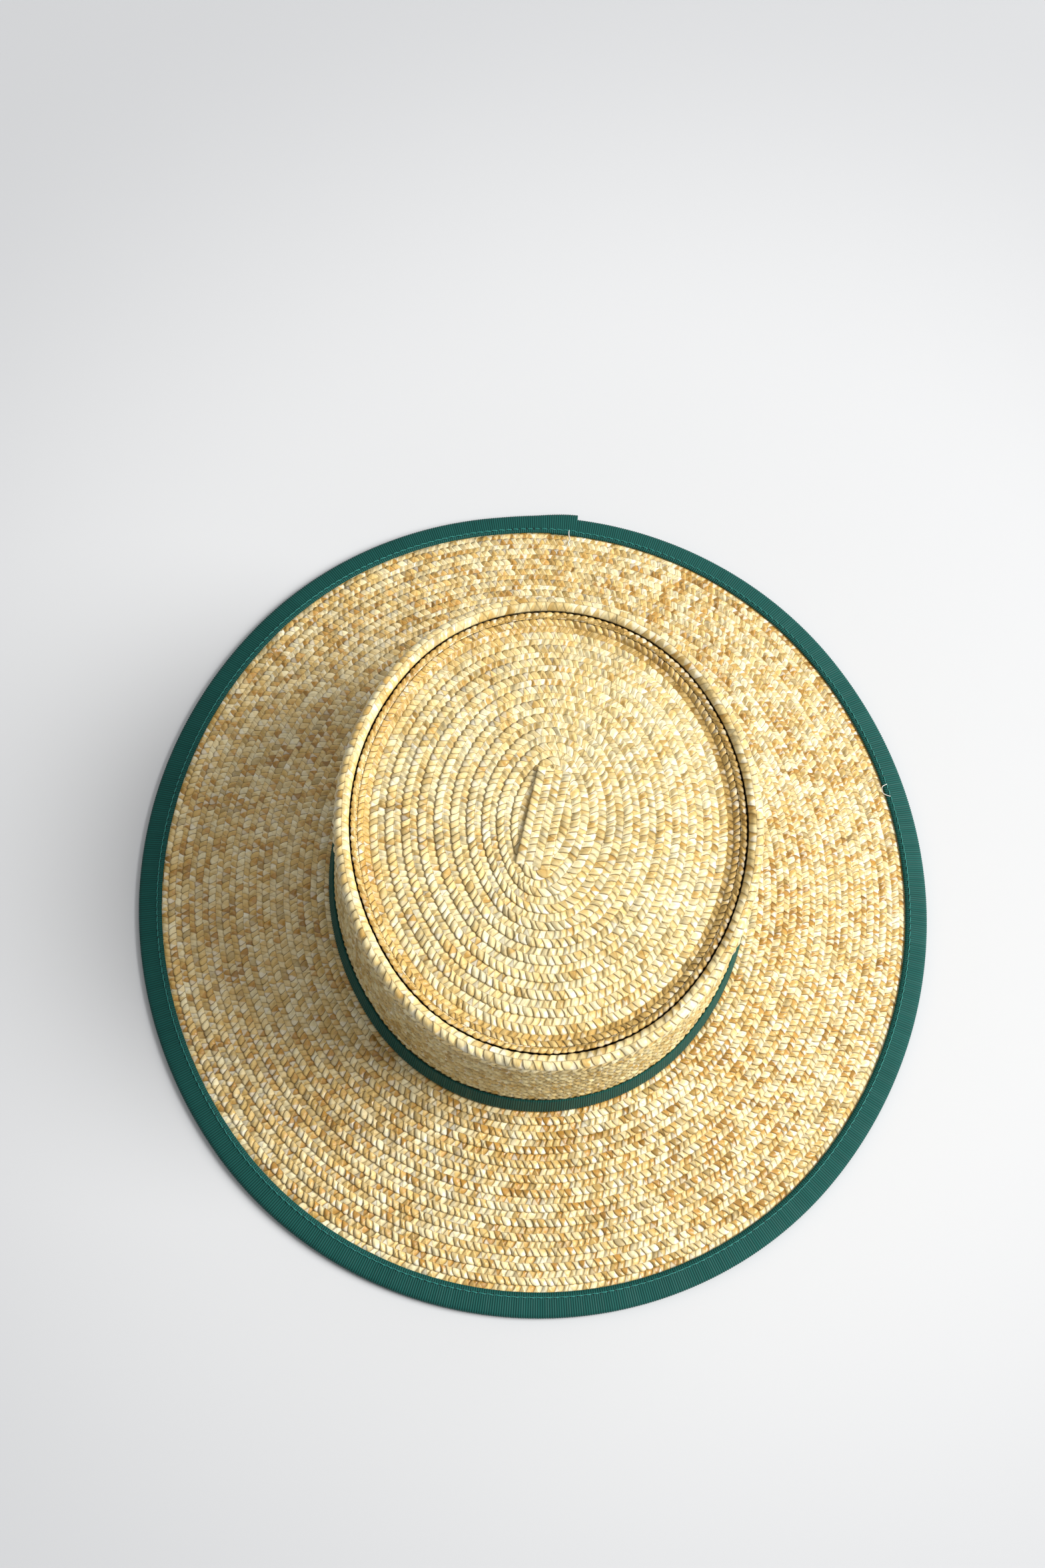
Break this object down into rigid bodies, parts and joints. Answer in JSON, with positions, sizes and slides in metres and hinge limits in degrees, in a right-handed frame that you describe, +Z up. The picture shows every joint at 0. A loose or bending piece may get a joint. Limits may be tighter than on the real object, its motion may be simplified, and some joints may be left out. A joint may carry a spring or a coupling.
{
  "type": "straw hat",
  "caption": "Wide-brimmed hat of sewn straw plait with a flat crown whose tip is sunk in its rim, ribbon-bound brim edge, narrow hatband and inner sweatband.",
  "frame": {"origin": "under the middle of the oval, on the plane the brim's edge stands on", "axes": "+Z up through the crown, +Y to the back of the hat, +X to the wearer's right"},
  "size_m": [0.3406, 0.3662, 0.0972],
  "materials": {
    "crown_straw": "pale cream-yellow plaited straw, slightly glossy",
    "brim_straw": "golden plaited straw with pale and orange strands",
    "binding_ribbon": "teal green grosgrain with fine cross ribs",
    "hatband_ribbon": "teal green grosgrain with fine cross ribs",
    "green_thread": "twisted sewing thread",
    "straw_thread": "off-white twisted sewing thread",
    "sweatband_ribbon": "ecru grosgrain tape",
    "spring_wire": "drawn spring wire",
    "sleeve_metal": "crimped sleeve"
  },
  "bodies": {
    "root": {"start_strip": "crown_straw", "crown_tip": "crown_straw", "crown_rim": "crown_straw", "crown_side": "crown_straw", "brim": "brim_straw", "brim_row_stitching": "straw_thread", "crown_row_stitching": "straw_thread", "brim_wire": "spring_wire", "wire_joiner": "sleeve_metal", "brim_binding": "binding_ribbon", "binding_thread": "green_thread", "hatband": "hatband_ribbon", "hatband_tacks": "green_thread", "sweatband": "sweatband_ribbon", "sweatband_thread": "straw_thread"}
  },
  "joints": []
}
